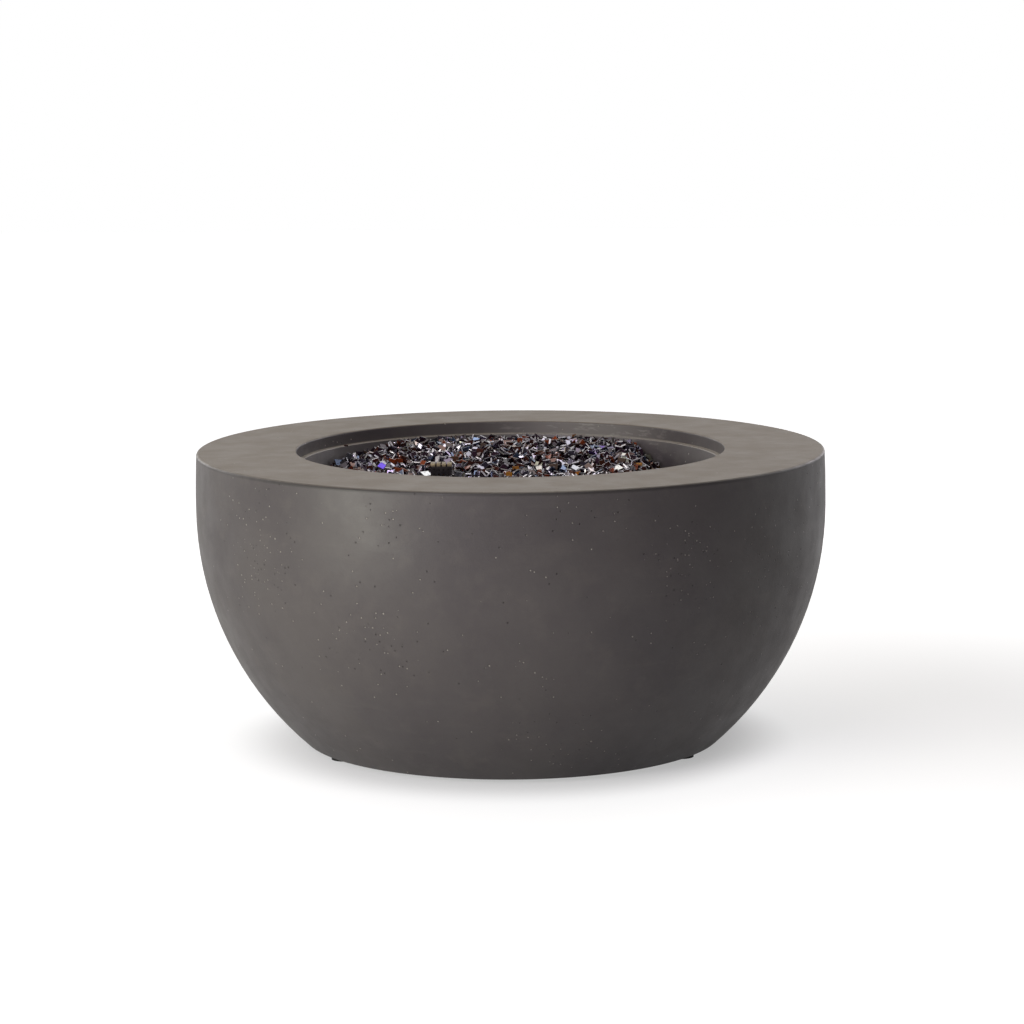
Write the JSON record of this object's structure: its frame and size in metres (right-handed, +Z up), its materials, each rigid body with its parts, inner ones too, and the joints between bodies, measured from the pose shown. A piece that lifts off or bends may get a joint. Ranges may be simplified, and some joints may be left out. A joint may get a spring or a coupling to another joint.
{
  "type": "gas fire bowl",
  "caption": "Round concrete fire bowl with a wide flat rim, a sunk fire well heaped with glass over a gas burner, a hooded pilot, rear controls and low feet.",
  "frame": {"origin": "on the floor, under the middle of the bowl", "axes": "+Z up along the bowl's axis, +Y towards the control niche at the back, the pictured side faces -Y"},
  "size_m": [1.0669, 1.067, 0.5015],
  "materials": {
    "concrete": "cast glass fibre concrete, sealed, with fine pinholes",
    "lava_rock": "rough broken lava rock",
    "fire_glass": "dark mirrored fire glass, crumbled tempered sheet",
    "foot_rubber": "moulded, matt",
    "stainless_sheet": "brushed stainless sheet",
    "burner_steel": "stainless tube, heat tinted",
    "hood_steel": "heat darkened steel sheet",
    "fastener_steel": "zinc plated",
    "spring_steel": "drawn wire",
    "brass": "turned brass",
    "valve_alloy": "die cast",
    "tube_aluminium": "drawn tube",
    "copper_lead": "drawn copper capillary",
    "knob_plastic": "moulded heat proof plastic",
    "pointer_white": "inlaid mark",
    "igniter_plastic": "moulded",
    "button_chrome": "bright plated",
    "battery_jacket": "plain sleeve",
    "ceramic_white": "glazed insulator",
    "hose_rubber": "gas hose",
    "hose_braid": "braided stainless sleeve",
    "lead_silicone": "silicone sleeve",
    "galvanised": "galvanised sheet"
  },
  "bodies": {
    "root": {"bowl_shell": "concrete", "foot_pads": "foot_rubber", "foot_screws": "fastener_steel", "foot_inserts": "brass", "burner_pan": "stainless_sheet", "lava_rock_bed": "lava_rock", "fire_glass_bed": "fire_glass", "burner_outer_ring": "burner_steel", "burner_inner_ring": "burner_steel", "burner_feed_tubes": "burner_steel", "burner_hub": "burner_steel", "burner_lock_nut": "fastener_steel", "air_mixer": "brass", "gas_jet": "brass", "pilot_cover": "hood_steel", "pilot_cover_screws": "fastener_steel", "pilot_bracket": "stainless_sheet", "pilot_burner": "brass", "electrode_ceramic": "ceramic_white", "electrode_pin": "spring_steel", "thermocouple_tip": "copper_lead", "thermocouple_lead": "copper_lead", "pilot_tube": "tube_aluminium", "spark_lead": "lead_silicone", "control_plate": "stainless_sheet", "plate_screws": "fastener_steel", "plate_inserts": "brass", "valve_body": "valve_alloy", "valve_nut": "brass", "valve_spring": "spring_steel", "igniter_body": "igniter_plastic", "igniter_nut": "igniter_plastic", "igniter_battery": "battery_jacket", "igniter_cap": "igniter_plastic", "igniter_spring": "spring_steel", "inlet_bridge": "galvanised", "bridge_screws": "fastener_steel", "bridge_inserts": "brass", "gas_inlet": "brass", "inlet_lock_nut": "brass", "valve_heat_shield": "galvanised", "shield_screws": "fastener_steel", "shield_inserts": "brass", "supply_line": "hose_rubber", "burner_line": "hose_braid", "line_nuts": "brass"},
    "valve_plunger": {"valve_plunger": "brass"},
    "knob": {"control_knob": "knob_plastic", "valve_stem": "brass", "knob_pointer": "pointer_white", "knob_set_screw": "fastener_steel"},
    "igniter_button": {"igniter_button": "button_chrome"}
  },
  "joints": [
    {"name": "knob_push", "type": "slide", "parent": "root", "child": "valve_plunger", "axis": [0, -1, 0], "range_m": [0, 0.005], "stiffness_N_per_m": 900, "springref_m": -0.006, "deforming": ["valve_spring"]},
    {"name": "knob_turn", "type": "hinge", "parent": "valve_plunger", "child": "knob", "pos_m": [-0.033, 0.511, 0.326], "axis": [0, 1, 0], "range_deg": [0, 180]},
    {"name": "igniter_press", "type": "slide", "parent": "root", "child": "igniter_button", "axis": [0, -1, 0], "range_m": [0, 0.004], "stiffness_N_per_m": 600, "springref_m": -0.005, "deforming": ["igniter_spring"]}
  ]
}
